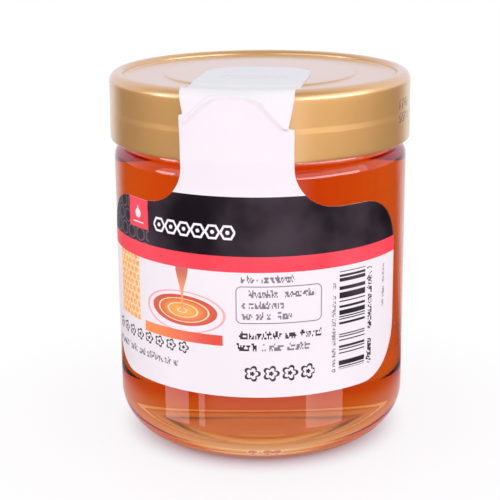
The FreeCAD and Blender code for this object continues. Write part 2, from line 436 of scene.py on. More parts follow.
foot_out = BODY - HEEL
foot_in = foot_out - FOOT_WIDTH
mouth = NECK - NECK_WALL
outer_wall = join(
    dome(foot_in, 0.0, PUSH_UP),
    rounded_profile([(foot_in, 0, 0), (foot_out, 0, 0)], 0.5),
    fan((foot_out, 0), (BODY, HEEL), (foot_out, HEEL), 1.6),
    rounded_profile([(BODY, HEEL, 0), (BODY, SHOULDER_START, 0)]),
    shoulder_arc(BODY, SHOULDER, NECK),
)
outer_shoulder_top = outer_wall[-1, 1]
inner_shoulder = shoulder_arc(CAVITY, SHOULDER - WALL, mouth)
neck_wall = rounded_profile([
    (NECK, outer_shoulder_top, 0), (NECK, RIM, LIP), (mouth, RIM, LIP), (mouth, inner_shoulder[-1, 1], 0),
], 1.5, 15.0)
glass_profile = join(outer_wall, neck_wall, inner_shoulder[::-1], inner_wall()[::-1])
print(f"the glass's profile has {len(glass_profile)} points; its neck starts at {outer_shoulder_top:.1f} mm")

# %% Marks of the mould
RING_ANGLES = (5.0, 11.0, 15.0)
RING_HEIGHT, RING_RADIUS, RING_SQUASH = 4.4, 1.05, 1.6
RIDGE_RISE, RIDGE_WIDTH = 0.3, 0.28
LINE_MIDDLE, LINE_HALF, LINE_HEIGHT = 8.7, 8.0, 11.4
LINE_RISE, LINE_WIDTH = 0.22, 0.3


def mould_marks(radius, height, angle):
    """Three small rings on the heel and a short line above them.

    A ring's ridge is highest where the distance from its middle is its radius, and falls away from there
    as a bell curve. Heights count RING_SQUASH times, so the rings are low ovals. Only the heel's outer
    skin is lifted, not the inner one.
    """
    into = np.clip(HEEL - height, 0, HEEL)
    outer_skin = foot_out + np.sqrt(HEEL**2 - into**2)
    outside = (radius > outer_skin - 1.0) & (height > 0.8) & (height < HEEL + 1)
    lift = np.zeros(np.broadcast(radius, angle).shape)
    for middle in RING_ANGLES:
        away = np.hypot(np.radians(angle - middle) * radius, (height - RING_HEIGHT) * RING_SQUASH)
        lift += RIDGE_RISE * np.exp(-(((away - RING_RADIUS) / RIDGE_WIDTH) ** 2))
    line_end = np.clip(np.abs(angle - LINE_MIDDLE) - LINE_HALF, 0, None)
    lift += LINE_RISE * np.exp(-(((height - LINE_HEIGHT) / LINE_WIDTH) ** 2) - line_end**2)
    return lift * outside


# the marks have closer columns; their angles are rounded, so that none lies a hair beside an even one
mark_angles = np.round(np.arange(-2.0, 20.0, 0.4), 6) % 360
glass_angles = np.union1d(even_angles(180), mark_angles)
print(f"a turn of the glass has {len(glass_angles)} columns")

# %% The glass piece
# the finish of a face follows from its middle and from how much it looks up or down, from 1 to -1
FOOT_HEIGHT = 4.2
LOOKS_UP, LOOKS_DOWN = 0.3, -0.1
glass_points, glass_faces = turned(glass_profile, glass_angles, mould_marks)
glass = new_piece("glass_shell", glass_points, glass_faces, "glass_jar", glass_finish)
glass.data.materials.append(wet_finish.material)
glass.data.materials.append(foot_finish.material)
face_middle, face_out = of_faces(glass, "center") / MM, of_faces(glass, "normal")
towards_axis = (face_middle[:, :2] * face_out[:, :2]).sum(1) < 0
wet_wall = towards_axis & (face_middle[:, 2] < HONEY_LEVEL) & (face_middle[:, 2] > HONEY_FOOT)
wet_floor = (face_out[:, 2] > LOOKS_UP) & (face_middle[:, 2] < HONEY_FOOT + HEEL)
wet_skin = wet_wall | wet_floor
under_foot = (face_out[:, 2] < LOOKS_DOWN) & (face_middle[:, 2] < FOOT_HEIGHT)
glass.data.polygons.foreach_set("material_index", wet_skin + 2 * under_foot)
print(f"{int(wet_skin.sum())} faces of the glass touch honey, {int(under_foot.sum())} are its foot")

# %% [markdown]
# ## The honey
# Clear honey has no surface colour: it takes out blue, then green, from the light that goes through it.
# A coloured surface would look like painted plastic and be as dark at thin places as at thick ones, so it
# is a clear solid with plain absorption inside. It reaches a quarter of a millimetre into the glass, or a
# gap of air would show between them as a silver skin. Honey bends light as much as glass does, so between
# the two there is no bend: the glass does it all, and the honey's own IOR is 1. Its top is level, with a
# small rise where it wets the glass.

# %% Honey finish
honey_finish = Finish("amber_honey_finish")
honey_cloud = honey_finish.noise(honey_finish.place(), 60.0, 3.0)
honey_shader = honey_finish.add("ShaderNodeBsdfPrincipled", None, {
    "Base Color": honey_finish.blend(honey_cloud, (1.0, 0.97, 0.93, 1), (1.0, 1.0, 0.98, 1)),
    "Roughness": 0.0,
    "IOR": 1.0,
    "Transmission Weight": 1.0,
})
honey_depth = honey_finish.add("ShaderNodeVolumeAbsorption", None, {
    "Color": (0.938, 0.58, 0.0, 1), "Density": 95.0,
})
honey_finish.add("ShaderNodeOutputMaterial", None, {"Surface": honey_shader, "Volume": honey_depth})
print("finish of the honey:", honey_finish.material.name)

# %% Honey
INTO_WALL = 0.25
MENISCUS, MENISCUS_FALL, MENISCUS_REACH = 0.7, 1.2, 6.0
honey_wall = mouth + INTO_WALL
honey_shoulder = shoulder_arc(CAVITY + INTO_WALL, SHOULDER - WALL + INTO_WALL, honey_wall)
honey_neck = rounded_profile([
    (honey_wall, honey_shoulder[-1, 1], 0), (honey_wall, HONEY_LEVEL, 0), (mouth, HONEY_LEVEL, 0),
], 1.0)
# away from the glass the level falls towards HONEY_LEVEL - MENISCUS, ever more slowly
inwards = np.linspace(0.0, MENISCUS_REACH, 10)[1:]
fall = MENISCUS * (1 - np.exp(-inwards / MENISCUS_FALL))
honey_top = np.stack([mouth - inwards, HONEY_LEVEL - fall], -1)
honey_middle = [(0.0, HONEY_LEVEL - MENISCUS)]
honey_profile = join(inner_wall(INTO_WALL), honey_shoulder, honey_neck, honey_top, honey_middle)
honey_points, honey_faces = turned(honey_profile, even_angles(192))
new_piece("honey_filling", honey_points, honey_faces, "honey", honey_finish)

# %% [markdown]
# ## The lid
# A cap of tinplate under satin gold lacquer: its foot is curled in, its side has one faint step where
# the sheet was drawn, and its top is sunk inside a round rim and stepped up again in the middle. Bevels
# would round all its edges alike, so it is turned like the jar, with a rounding of its own at each corner.
# The lacquer is half metal, half paint, under a clear coat. The printer's code near the right is only a
# field of small dots.

# %% Lid finish
lid_finish = Finish("gold_lacquer_finish")
lid_place = lid_finish.place()
lid_x, lid_y, lid_z = lid_finish.millimetres()
lid_angle = lid_finish.angle(lid_x, -lid_y) * (180 / math.pi)
sheen = lid_finish.noise(lid_finish.stretched(lid_place, (1.0, 1.0, 0.3)), 45.0, 4.0)
grain = lid_finish.noise(lid_place, 2600.0, 2.0)
gold = lid_finish.blend(sheen, (0.70, 0.37, 0.105, 1), (0.78, 0.43, 0.135, 1))

# the code: two lines of letters that are 3 dots wide and 5 high, where each dot is there or not by chance
DOT, CODE_TURN, CODE_FOOT = 0.52, 71.5, 91.4
code_across = (lid_angle - CODE_TURN) * (LID * math.pi / 180) / DOT
code_up = (lid_z - CODE_FOOT) / DOT
code_cell = code_across.floor() * 57.0 + code_up.floor()
code_row = (code_up.inside(0, 5.0) | code_up.inside(7.0, 12.0)) & code_across.inside(0, 15.0)
in_letter = (code_across % 4.0) < 3.0
dot = ((code_across % 1.0 - 0.5) ** 2 + (code_up % 1.0 - 0.5) ** 2) < 0.27
code = (lid_finish.chance(code_cell) > 0.42) & code_row & in_letter & dot
lid_finish.surface({
    "Base Color": lid_finish.blend(code * 0.9, gold, shade(72, 44, 38)),
    "Metallic": 0.5 - code * 0.5,
    "Roughness": 0.36 + sheen * 0.08 + code * 0.2,
    "Coat Weight": 1.0,
    "Coat IOR": 1.95,
    "Coat Roughness": 0.2,
    "Normal": lid_finish.bump(grain, 0.04, 0.4),
})
print(f"the code on the lid is {15 * DOT:.1f} mm wide and {12 * DOT:.1f} mm high")

# %% Lid
METAL = 0.4
LID_CORNER = 2.7
CURL = 0.7
DROP = 1.3
STEP = 26.6
STEP_RISE = 0.4
CREST = LID - LID_CORNER
PANEL = LID_TOP - DROP
SIDE_STEP, SIDE_STEP_FOOT, SIDE_STEP_TOP = 0.1, 92.6, 94.0
curl_in = LID - CURL * 2
curl_top = LID_FOOT + CURL * 2
middle_top = PANEL + STEP_RISE
lid_outer = rounded_profile([
    (curl_in, LID_FOOT + CURL, 0), (curl_in, LID_FOOT, CURL), (LID, LID_FOOT, CURL),
    (LID, SIDE_STEP_FOOT, 3.0), (LID - SIDE_STEP, SIDE_STEP_TOP, 3.0),
    (LID - SIDE_STEP, LID_TOP, LID_CORNER - SIDE_STEP), (CREST, LID_TOP, 0),
], 1.2, 9.0)
rim_inside = fan((CREST, LID_TOP), (CREST - DROP, PANEL), (CREST, PANEL), 9.0)
lid_top = rounded_profile([
    (CREST - DROP, PANEL, 0), (STEP + STEP_RISE, PANEL, 0.5), (STEP, middle_top, 0.5), (0, middle_top, 0),
], 2.0, 10.0)
lid_under = rounded_profile([
    (0, middle_top - METAL, 0), (STEP, middle_top - METAL, 0.5), (STEP + STEP_RISE, PANEL - METAL, 0.5),
    (CREST - DROP + METAL, PANEL - METAL, 0.3), (CREST - DROP + METAL, PANEL, 0.3),
    (CREST, LID_TOP - METAL, 0.6), (LID - METAL, LID_TOP - METAL, 2.0), (LID - METAL, curl_top, 0),
    (curl_in + 0.2, curl_top, 0), (curl_in, LID_FOOT + CURL, 0),
], 2.0, 15.0)
lid_profile = join(lid_under, lid_outer, rim_inside, lid_top)
lid_points, lid_faces = turned(lid_profile, even_angles(240))
new_piece("gold_lid", lid_points, lid_faces, "lid", lid_finish)

# %% [markdown]
# ## The paper label
# One sheet: a rounded rectangle round the jar, whose middle runs on up as a tab, over the rim and onto
# the lid. A flat plane shrink-wrapped onto the jar would stretch at the rim, and paper doesn't stretch.
# So it is a grid with two parameters, s across and t along, and every row says how wide the sheet is
# there and which radius and height it lies at. The paper's own flat measures go into its UV map, so that
# the print follows the sheet wherever it bends.

# %% The line the sheet follows
PAPER = 0.15
LABEL_TOP = 72.7
HALF_ANGLE = 71.0
LABEL_CORNER = 15.0
LIFT_OFF = 78.5
LANDING = 85.5
PANEL_LANDING = 34.5
TAB = 14.8
FLARE = 11.0
TAB_CORNER = 11.0
skin = BODY + PAPER
lid_skin = LID + PAPER
rim_skin = LID_TOP + PAPER
# up the glass, across to the lid, round its corner, and from the crest down to the sunk panel
tab_path = join(
    [(skin, LABEL_TOP), (skin, LIFT_OFF), (lid_skin, LANDING)],
    rounded_profile([
        (lid_skin, LANDING, 0), (lid_skin, rim_skin, LID_CORNER + PAPER), (CREST - 0.2, rim_skin, 0),
    ], 0.5, 6.0),
    [(CREST - 1.0, LID_TOP - 0.12), (PANEL_LANDING, PANEL + PAPER)],
)


def along(path, spacing):
    """Points evenly spaced along a line of points, and their distances from its start."""
    length = np.concatenate([[0.0], np.cumsum(np.hypot(*np.diff(path, axis=0).T))])
    at = np.linspace(0.0, length[-1], int(length[-1] / spacing) + 1)
    return np.stack([np.interp(at, length, path[:, 0]), np.interp(at, length, path[:, 1])], -1), at


tab_line, tab_distance = along(tab_path, 0.4)
landing_distance = tab_distance[-1]
print(f"the tab's line is {landing_distance:.1f} mm long up to the lid's panel")

# %% How wide the sheet is
flare_half = TAB + FLARE
# height where a slit starts, its depth, and how far up it closes again, at the left and at the right
SLITS = {-1: (97.2, 1.15, 5.6), 1: (94.3, 1.5, 8.0)}
RISE_AHEAD, RISE_LENGTH = 1.6, 2.2


def sheet_half(height):
    """Half the rounded rectangle's width at a height, along the glass: its corners are quarter circles."""
    edge = BODY * math.radians(HALF_ANGLE)
    into = np.clip(np.minimum(height - LABEL_FOOT, LABEL_TOP - height), 0, LABEL_CORNER)
    return edge - LABEL_CORNER + np.sqrt(LABEL_CORNER**2 - (LABEL_CORNER - into) ** 2)


def tab_half(height, side):
    """Half the tab's width, seen from the front: a hollow quarter circle at its foot, and a torn slit above.

    The slit's lower lip is square and its upper one slopes back out to the tab's full width.
    """
    flare = flare_half - np.sqrt(FLARE**2 - np.clip(LABEL_TOP + FLARE - height, 0, FLARE) ** 2)
    half = np.where(height < LABEL_TOP + FLARE, flare, TAB)
    slit, depth, slope = SLITS[side]
    above = np.clip((height - slit) / slope, 0, 1)
    return half - np.where(height > slit, depth * (1 - above) ** 1.3, 0.0)


def flat_tab_half(ahead):
    """Half the tab's width on the lid's top, with round far corners."""
    into = np.clip(ahead - (TAB_REACH - TAB_CORNER), 0, TAB_CORNER)
    return TAB - TAB_CORNER + np.sqrt(TAB_CORNER**2 - into**2)


def panel_height(radius):
    """Height of the paper on the lid's top: flat on the panel, up over the step, flat in the middle.

    The rise is the smooth step 3 q squared - 2 q cubed, where q goes from 0 to 1 towards the middle.
    """
    rise = np.clip((STEP + RISE_AHEAD - radius) / RISE_LENGTH, 0, 1)
    return PANEL + PAPER + STEP_RISE * rise * rise * (3 - 2 * rise)


widest = 2 * sheet_half((LABEL_FOOT + LABEL_TOP) / 2)
print(f"the label is {widest:.1f} mm wide round the glass, its tab {2 * TAB:.1f} mm")

# %% Rows of the label and its tab
MIDDLE_COLUMNS, WING_COLUMNS = 90, 34
SAME_ROW = 0.02
STRAIGHTENING = 20.0
share = np.linspace(-1, 1, MIDDLE_COLUMNS + 1)
wing_share = (np.arange(WING_COLUMNS) + 1) / WING_COLUMNS
middle_arc = BODY * math.asin(flare_half / BODY)

# heights of the body's rows, closer together at the round corners
corner_rows = LABEL_CORNER * (1 - np.cos(np.linspace(0, math.pi / 2, 14)))
corner_rows = np.concatenate([LABEL_FOOT + corner_rows, LABEL_TOP - corner_rows])
label_rows = np.union1d(np.linspace(LABEL_FOOT, LABEL_TOP, 60), corner_rows)
label_rows = label_rows[np.concatenate([[True], np.diff(label_rows) > SAME_ROW])]

# rows of the body: the angle grows evenly across the middle and across each wing
half = sheet_half(label_rows)[:, None]
middle = np.broadcast_to(share * middle_arc, (len(label_rows), len(share)))
wing = middle_arc + (half - middle_arc) * wing_share
body_arc = np.concatenate([-wing[:, ::-1], middle, wing], 1)
body_turn = body_arc / BODY
body_height = np.broadcast_to(label_rows[:, None], body_turn.shape)
body_points = np.stack([skin * np.sin(body_turn), -skin * np.cos(body_turn), body_height], -1)
body_flat = np.stack([body_arc, body_height], -1)

# rows of the tab up the side of the lid and over its rim; past the crest it has its full width again
radius, height = tab_line[1:, 0][:, None], tab_line[1:, 1][:, None]
on_side = np.arange(len(radius))[:, None] < np.argmax(height)
slit_height = np.where(on_side, height, LID_TOP + 5)
left, right = tab_half(slit_height, -1), tab_half(slit_height, 1)
side_turn = share * np.where(share < 0, np.arcsin(left / radius), np.arcsin(right / radius))
side_height = np.broadcast_to(height, side_turn.shape)
side_points = np.stack([radius * np.sin(side_turn), -radius * np.cos(side_turn), side_height], -1)
side_up = np.broadcast_to(LABEL_TOP + tab_distance[1:, None], side_turn.shape)
side_flat = np.stack([side_turn * BODY, side_up], -1)

# rows of the tab on the lid's top: they straighten as they leave the rim, and lie closer at both ends
quarter_turn = np.linspace(0, math.pi / 2, 90)
steps = 0.5 * (1 - np.cos(quarter_turn)) + 0.5 * np.sin(quarter_turn)
ahead = (-PANEL_LANDING + (TAB_REACH + PANEL_LANDING) * steps[1:])[:, None]
landing_turn = math.asin(TAB / PANEL_LANDING)
top_x = flat_tab_half(ahead) * np.sin(share * landing_turn) / math.sin(landing_turn)
bow = PANEL_LANDING - np.sqrt(PANEL_LANDING**2 - top_x**2)
straightened = np.clip((ahead + PANEL_LANDING) / STRAIGHTENING, 0, 1)
top_y = ahead + bow * (1 - straightened) ** 2
top_points = np.stack([top_x, top_y, panel_height(np.hypot(top_x, top_y))], -1)
top_across = top_x * BODY * math.asin(TAB / BODY) / TAB
top_up = np.broadcast_to(LABEL_TOP + landing_distance + ahead + PANEL_LANDING, top_x.shape)
top_flat = np.stack([top_across, top_up], -1)
print(f"rows: {len(body_points)} on the glass, {len(side_points)} up the side, {len(top_points)} on top")


# %% One sheet from the rows
def filled(block, columns):
    """A block of rows with empty columns on both sides, so that it lines up with the widest rows."""
    gap = (columns - block.shape[1]) // 2
    return np.pad(block, ((0, 0), (gap, gap), (0, 0)))


columns = body_points.shape[1]
sheet = np.concatenate([body_points, filled(side_points, columns), filled(top_points, columns)])
flat = np.concatenate([body_flat, filled(side_flat, columns), filled(top_flat, columns)])
row_index, column_index = np.meshgrid(np.arange(len(sheet) - 1), np.arange(columns - 1), indexing="ij")
on_body = row_index < len(body_points) - 1
in_middle = (column_index >= WING_COLUMNS) & (column_index < columns - 1 - WING_COLUMNS)
sheet_faces = grid_faces(len(sheet), columns, False)[(on_body | in_middle).ravel()]
used, sheet_faces = np.unique(sheet_faces, return_inverse=True)
sheet_faces = sheet_faces.reshape(-1, 4)
sheet_points = sheet.reshape(-1, 3)[used]
sheet_flat = flat.reshape(-1, 2)[used]
print(f"the sheet has {len(sheet_points)} points and lies {sheet_flat[:, 1].max():.1f} mm up its own plane")

# %% Creases of the tab
# The paper was pressed round the rim by hand, so an arch of it stands a little off the lid. The arch is a
# few corners on the flat sheet, as (across, up).
ARCH = np.array([
    (-13.2, 95.6), (-10.0, 98.8), (-7.4, 101.0), (-5.4, 102.4), (-2.6, 102.9),
    (3.0, 102.7), (6.6, 101.0), (9.4, 97.2), (12.2, 94.4),
])
FOLD_RISE, FOLD_WIDTH = 0.8, 0.6
SWELL_RISE, SWELL_WIDTH = 0.35, 3.0
CREASED_FROM, CREASED_TO = 88.0, 106.0


def crease(flat_points):
    """How far the paper stands off: a sharp fold on the arch and a wide swell round it, both bell curves."""
    away = np.full(len(flat_points), np.inf)
    for start, end in zip(ARCH, ARCH[1:]):
        run = end - start
        share_along = np.clip(((flat_points - start) @ run) / (run @ run), 0, 1)[:, None]
        away = np.minimum(away, np.hypot(*(flat_points - start - share_along * run).T))
    fold = FOLD_RISE * np.exp(-((away / FOLD_WIDTH) ** 2))
    return fold + SWELL_RISE * np.exp(-((away / SWELL_WIDTH) ** 2))


out = sheet_points * (1, 1, 0)
out /= np.maximum(np.linalg.norm(out, axis=1), 1e-6)[:, None]
creased = (sheet_flat[:, 1] > CREASED_FROM) & (sheet_flat[:, 1] < CREASED_TO)
stand_off = crease(sheet_flat) * creased
sheet_points = sheet_points + out * stand_off[:, None]
print(f"the crease stands {stand_off.max():.2f} mm off the lid at most")

# %% [markdown]
# ## The print
# White coated paper with a black band, a thin coral one and small grey marks where writing would be. An
# image would do, but arithmetic stays sharp at any distance, so everything is drawn with it on the sheet's
# flat millimetres: across from the middle and up from the jar's foot. Each mark is a mask, and a mask
# blends its colour over what is already there. The design is generic: rows of specks for writing,
# honeycomb, blossoms and a pool of honey.

# %% Print helpers
SHEET_WIDE, SHEET_TALL = 120.0, 170.0
paper_finish = Finish("label_paper_finish")
print_place = paper_finish.add("ShaderNodeUVMap", {"uv_map": "flat_sheet"})
print_grain = paper_finish.stretched(print_place, (SHEET_WIDE, SHEET_TALL, 1))
print_u, print_v, _ = paper_finish.split(print_place)
across = (print_u - 0.5) * SHEET_WIDE
up = print_v * SHEET_TALL
DEGREE = BODY * math.pi / 180


def field(left, right, foot, head):
    """1 inside a plain rectangle."""
    return across.inside(left, right) & up.inside(foot, head)


def rounded_away(middle_across, middle_up, wide, tall, rounding):
    """Distance out of a rounded rectangle: how far past its inner rectangle, less the rounding."""
    side = (abs(across - middle_across) - (wide / 2 - rounding)) | 0.0
    rise = (abs(up - middle_up) - (tall / 2 - rounding)) | 0.0
    return (side**2 + rise**2) ** 0.5 - rounding


def oval(middle_across, middle_up, wide, tall):
    """Distance from the middle of an ellipse as a share of its rim's: 1 on the rim, less inside it."""
    return (((across - middle_across) / (wide / 2)) ** 2 + ((up - middle_up) / (tall / 2)) ** 2) ** 0.5


def hexagon(side_away, up_away):
    """Distance from a hexagon's middle, measured so that its rim is a line of equal distance."""
    side, rise = abs(side_away), abs(up_away)
    return (side * 0.866 + rise * 0.5) | rise


def repeated(start, pitch):
    """How far across from the middle of its own cell, where a cell of this pitch comes again and again."""
    return (across - start) % pitch - pitch / 2


def honeycomb(foot, pitch, row_rise):
    """Distance from the middle of the nearest cell, where every second row moves on by half a pitch."""
    row = ((up - foot) / row_rise).floor()
    side = (across + SHEET_WIDE / 2 + (row % 2.0) * (pitch / 2)) % pitch - pitch / 2
    return hexagon((up - foot) % row_rise - row_rise / 2, side)


def writing(line, height_place, start, end, foot, tall, seed):
    """A line of small specks that stands for writing but spells nothing.

    The line is cut into columns and rows, and a speck is inked when its cell's chance is high. Some
    threes of columns stay blank, as between words, and some pairs of columns reach a row higher.
    """
    column = ((line - start) / (tall * 0.15)).floor()
    row = ((height_place - foot) / (tall * 0.25)).floor()
    inked = paper_finish.chance(column * 7.3 + row * 131.7 + seed) > 0.45
    tallness = (paper_finish.chance((column / 2.0).floor() + seed * 2.0) > 0.72) + 3.0
    word = paper_finish.chance((column / 3.0).floor() + seed * 3.0) > 0.13
    return inked & word & line.inside(start, end) & (row > -0.5) & (row < tallness)


print(f"the UV square is {SHEET_WIDE:.0f} by {SHEET_TALL:.0f} mm, one degree is {DEGREE:.2f} mm")

# %% Bands, honeycomb, chain and tag
WHITE_PAPER = shade(237, 236, 238)
BLACK_INK = shade(24, 16, 25)
CORAL = shade(250, 68, 82)
GREY_INK = shade(128, 120, 130)
DARK_INK = shade(52, 46, 54)
BARS_INK = shade(40, 34, 42)
COMB_GREY = shade(92, 84, 94)
CHAIN_WHITE = shade(250, 246, 250)
DROP_WHITE = shade(250, 240, 246)
FAINT_PINK = shade(236, 196, 214)
CORAL_FOOT, BLACK_FOOT, BLACK_TOP = 56.4, 60.66, 76.5

ink = paper_finish.blend(up.inside(BLACK_FOOT, BLACK_TOP), WHITE_PAPER, BLACK_INK)
ink = paper_finish.blend(up.inside(CORAL_FOOT, BLACK_FOOT), ink, CORAL)

# honeycomb in dark grey at the left of the black band, and a chain of six white cells as its ornament
comb_line = honeycomb(61.0, 4.5, 3.9).inside(1.45, 1.95)
ink = paper_finish.blend(comb_line & field(-46.5, -27.0, BLACK_FOOT, LABEL_TOP - 0.1), ink, COMB_GREY)
CHAIN_START, CHAIN_PITCH, CHAIN_UP = -24.9, 4.1, 67.0
chain_side, chain_rise = repeated(CHAIN_START, CHAIN_PITCH), up - CHAIN_UP
chain_field = across.inside(CHAIN_START, CHAIN_START + 6 * CHAIN_PITCH)
chain_ring = hexagon(chain_side, chain_rise).inside(1.35, 1.95)
chain_dot = (chain_side**2 + chain_rise**2) < 0.3
ink = paper_finish.blend((chain_ring | chain_dot) & chain_field, ink, CHAIN_WHITE)

# the coral tag with a white drop and a short line under it
TAG_LEFT, TAG_RIGHT, TAG_FOOT, DROP_TIP = -50.4 * DEGREE, -38.0 * DEGREE, 64.6, 71.0
tag_middle = (TAG_LEFT + TAG_RIGHT) / 2
ink = paper_finish.blend(field(TAG_LEFT, TAG_RIGHT, TAG_FOOT, LABEL_TOP + 0.3), ink, CORAL)
drop_ball = oval(tag_middle, 68.6, 2.5, 2.5) < 1.0
drop_tip = (abs(across - tag_middle) < (DROP_TIP - up) * 0.42) & up.inside(68.9, DROP_TIP)
tag_line = field(tag_middle - 2.4, tag_middle + 2.4, 66.0, 66.35)
ink = paper_finish.blend(drop_ball | drop_tip | tag_line, ink, DROP_WHITE)
print(f"bands: coral from {CORAL_FOOT:.1f} to {BLACK_FOOT:.1f} mm, black above it")

# %% The picture: a patch of comb, and honey that runs into a pool over a shelf
pale = paper_finish.noise(print_grain, 0.8, 4.0)
patch_ink = paper_finish.blend(pale.soft(0.3, 0.75), shade(250, 160, 70), shade(255, 205, 140))
patch_ink = paper_finish.blend(honeycomb(38.0, 2.2, 1.9) > 0.82, patch_ink, shade(255, 224, 170))
ink = paper_finish.blend(field(-61.0 * DEGREE, -44.5 * DEGREE, 38.3, CORAL_FOOT), ink, patch_ink)

POOL_ACROSS, POOL_UP = -15.6, 44.6
pool = oval(POOL_ACROSS, POOL_UP, 20.5, 8.4)
pool_ink = paper_finish.blend(pool.soft(0.15, 0.95), shade(252, 178, 84), shade(216, 92, 66))
ripple = ((pool * 3.2) % 1.0).inside(0.36, 0.52)
pool_ink = paper_finish.blend(ripple & (pool < 0.8), pool_ink, shade(255, 226, 190))
halo = oval(POOL_ACROSS, POOL_UP - 0.4, 25.0, 11.6)
ink = paper_finish.blend(halo.inside(0.94, 1.0), ink, shade(240, 178, 180))
ink = paper_finish.blend(pool < 1.0, ink, pool_ink)
stream_half = 0.35 + (up - POOL_UP).soft(4.0, 11.8) * 1.6
stream = (abs(across - POOL_ACROSS) < stream_half) & up.inside(POOL_UP, CORAL_FOOT)
stream_ink = paper_finish.blend(up.soft(50, 56), shade(244, 164, 110), shade(206, 112, 92))
ink = paper_finish.blend(stream, ink, stream_ink)
shelf_ink = paper_finish.blend(across.soft(-30, -5), shade(250, 150, 84), shade(226, 84, 70))
ink = paper_finish.blend(field(-29.6, -4.0, 36.0, 38.9), ink, shelf_ink)
print(f"the pool of honey lies {POOL_UP:.1f} mm up, {-POOL_ACROSS:.1f} mm left of the middle")

# %% The marks for writing, blossoms and bars
# each line: its ends in degrees round the jar, its foot, how tall it is, its seed and its colour
for left_degree, right_degree, foot, tall, seed, colour in (
    (1.0, 21.0, 53.6, 2.1, 11, GREY_INK),
    (1.6, 29.0, 49.6, 2.1, 37, GREY_INK),
    (1.6, 17.0, 46.6, 2.1, 53, GREY_INK),
    (1.6, 20.0, 43.6, 2.1, 71, GREY_INK),
    (-0.4, 31.5, 38.2, 2.2, 101, DARK_INK),
    (-0.4, 7.0, 34.9, 2.2, 139, DARK_INK),
    (9.0, 27.0, 34.9, 2.1, 163, GREY_INK),
    (-66.0, -24.0, 28.4, 2.1, 197, GREY_INK),
):
    words = writing(across, up, left_degree * DEGREE, right_degree * DEGREE, foot, tall, seed)
    ink = paper_finish.blend(words, ink, colour)
FRAME_LINE = 0.26
frame_away = rounded_away(15.5 * DEGREE, 47.6, 31.8 * DEGREE, 10.0, 1.4)
ink = paper_finish.blend(abs(frame_away) < FRAME_LINE / 2, ink, GREY_INK)

# two rows of blossoms: a cosine of the angle round the middle gives the rim its five petals
for start, end, middle_up, size, pitch in ((-47.0, -13.2, 34.2, 1.75, 4.2), (1.3, 20.6, 28.6, 2.3, 5.0)):
    side, rise = repeated(start, pitch), up - middle_up
    petals = abs((paper_finish.angle(rise, side) * 2.5).cosine())
    away = (side**2 + rise**2) ** 0.5 / (size * (0.62 + petals * 0.38))
    blossom = away.inside(0.7, 1.0) | (away < 0.3)
    ink = paper_finish.blend(blossom & across.inside(start, end), ink, DARK_INK)

# bars of random width, and three upright lines of specks beside them
BAR = 0.33
bars = paper_finish.chance((up / BAR).floor() + 5.0) > 0.45
ink = paper_finish.blend(bars & field(27.9, 36.8, 27.6, 55.0), ink, BARS_INK)
for start, end, foot, tall, seed, colour in (
    (27.0, 54.5, -39.5, 2.0, 211, DARK_INK),
    (27.0, 52.0, -26.8, 1.2, 241, GREY_INK),
    (42.0, 54.0, -45.2, 1.1, 277, GREY_INK),
):
    words = writing(up, -across, start, end, foot, tall, seed)
    ink = paper_finish.blend(words, ink, colour)

# faint pink specks on the tab's end
for foot, seed in ((131.0, 307), (134.5, 331)):
    faint = writing(across, up, -9.0, 10.0, foot, 2.0, seed)
    ink = paper_finish.blend(faint * 0.5, ink, FAINT_PINK)
print(f"the print takes {len(paper_finish.tree.nodes)} nodes")

# %% [markdown]
# ## The paper itself
# Coated paper has a soft, even gloss with fine fibres under it, and its inside is bare and rougher. Both
# are one sheet, so a Solidify modifier gives it its thickness and puts the second finish on its inside
# and its edges. The sheet reaches a hair into the glass, so no gap of air shows from behind.

# %% Paper finishes
fibre = paper_finish.noise(print_grain, 2.2, 5.0, 0.6)
mottle = paper_finish.noise(print_grain, 0.05, 3.0)
sheet_ink = paper_finish.blend(mottle.soft(0.3, 0.7) * 0.05, ink, shade(255, 226, 246))
paper_finish.surface({
    "Base Color": sheet_ink,
    "Roughness": 0.32 + fibre * 0.1,
    "Specular IOR Level": 0.1,
    "Normal": paper_finish.bump(fibre, 0.03, 0.5),
})

back_finish = Finish("bare_paper_finish")
back_fibre = back_finish.noise(back_finish.place(), 900.0, 4.0)
back_finish.surface({
    "Base Color": back_finish.blend(back_fibre, shade(238, 232, 226), shade(248, 243, 238)),
    "Roughness": 0.7 + back_fibre * 0.15,
    "Normal": back_finish.bump(back_fibre, 0.03, 0.6),
})
print("finishes of the paper:", paper_finish.material.name, back_finish.material.name)

# %% The label piece
INTO_GLASS = 0.05
label = new_piece("paper_label", sheet_points, [sheet_faces], "label", paper_finish)
flat_map = label.data.uv_layers.new(name="flat_sheet")
loop_vertex = np.zeros(len(label.data.loops), int)
label.data.loops.foreach_get("vertex_index", loop_vertex)
flat_uv = np.stack([sheet_flat[:, 0] / SHEET_WIDE + 0.5, sheet_flat[:, 1] / SHEET_TALL], -1)[loop_vertex]
flat_map.data.foreach_set("uv", flat_uv.ravel())
thick = label.modifiers.new("paper thickness", "SOLIDIFY")
thick.thickness = (PAPER + INTO_GLASS) * MM
thick.offset = -1.0
label.data.materials.append(back_finish.material)
thick.material_offset = 1
thick.material_offset_rim = 1
